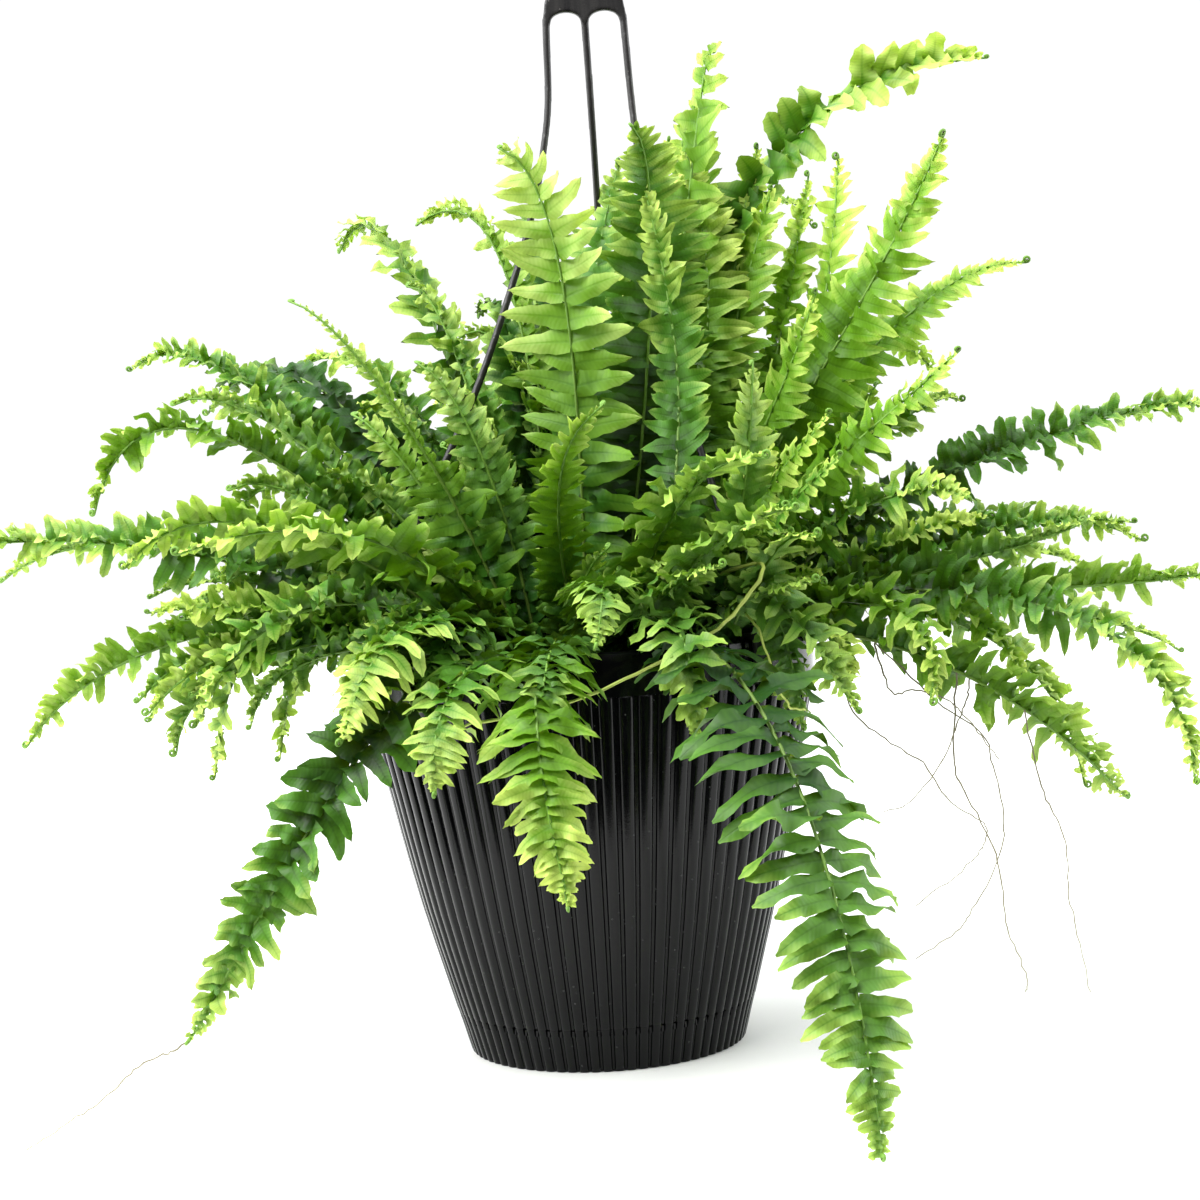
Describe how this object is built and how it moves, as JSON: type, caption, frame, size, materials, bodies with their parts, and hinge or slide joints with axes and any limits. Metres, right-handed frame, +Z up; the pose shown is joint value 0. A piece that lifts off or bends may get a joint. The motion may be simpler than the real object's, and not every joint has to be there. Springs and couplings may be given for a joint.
{
  "type": "potted fern",
  "caption": "Boston fern in a ribbed black plastic hanging pot with a clip-on saucer and a three-legged hanger, standing on its base.",
  "frame": {"origin": "centre of the saucer's flat underside, on the surface the pot stands on", "axes": "+Z up, -Y towards the side that the picture shows, +X to the right in it"},
  "size_m": [0.735, 0.5893, 0.6442],
  "materials": {
    "pot_plastic": "black moulded polypropylene, satin",
    "potting_mix": "damp peat and bark",
    "leaf": "thin satin leaf, light green tips over dark green",
    "runner": "pale green shoot"
  },
  "bodies": {
    "root": {"saucer": "pot_plastic", "pot": "pot_plastic", "soil": "potting_mix", "hanger": "pot_plastic", "runner_pale": "runner", "runner_thin": "runner", "frond_crown_01": "leaf", "frond_crown_02": "leaf", "frond_crown_03": "leaf", "frond_crown_04": "leaf", "frond_crown_05": "leaf", "frond_crown_06": "leaf", "frond_crown_07": "leaf", "frond_crown_08": "leaf", "frond_crown_09": "leaf", "frond_crown_10": "leaf", "frond_crown_11": "leaf", "frond_crown_12": "leaf", "frond_crown_13": "leaf", "frond_crown_14": "leaf", "frond_right_01": "leaf", "frond_right_02": "leaf", "frond_right_03": "leaf", "frond_right_04": "leaf", "frond_right_05": "leaf", "frond_right_06": "leaf", "frond_right_07": "leaf", "frond_right_08": "leaf", "frond_right_09": "leaf", "frond_right_10": "leaf", "frond_left_01": "leaf", "frond_left_02": "leaf", "frond_left_03": "leaf", "frond_left_04": "leaf", "frond_left_05": "leaf", "frond_left_06": "leaf", "frond_left_07": "leaf", "frond_left_08": "leaf", "frond_left_09": "leaf", "frond_left_10": "leaf", "frond_front_01": "leaf", "frond_front_02": "leaf", "frond_front_03": "leaf", "frond_front_04": "leaf", "frond_front_05": "leaf", "frond_front_06": "leaf", "frond_front_07": "leaf", "frond_front_08": "leaf", "frond_front_09": "leaf", "frond_front_10": "leaf", "frond_back_01": "leaf", "frond_back_02": "leaf", "frond_back_03": "leaf", "frond_back_04": "leaf", "frond_back_05": "leaf", "frond_back_06": "leaf", "frond_back_07": "leaf", "frond_back_08": "leaf", "frond_back_09": "leaf", "frond_back_10": "leaf"}
  },
  "joints": []
}
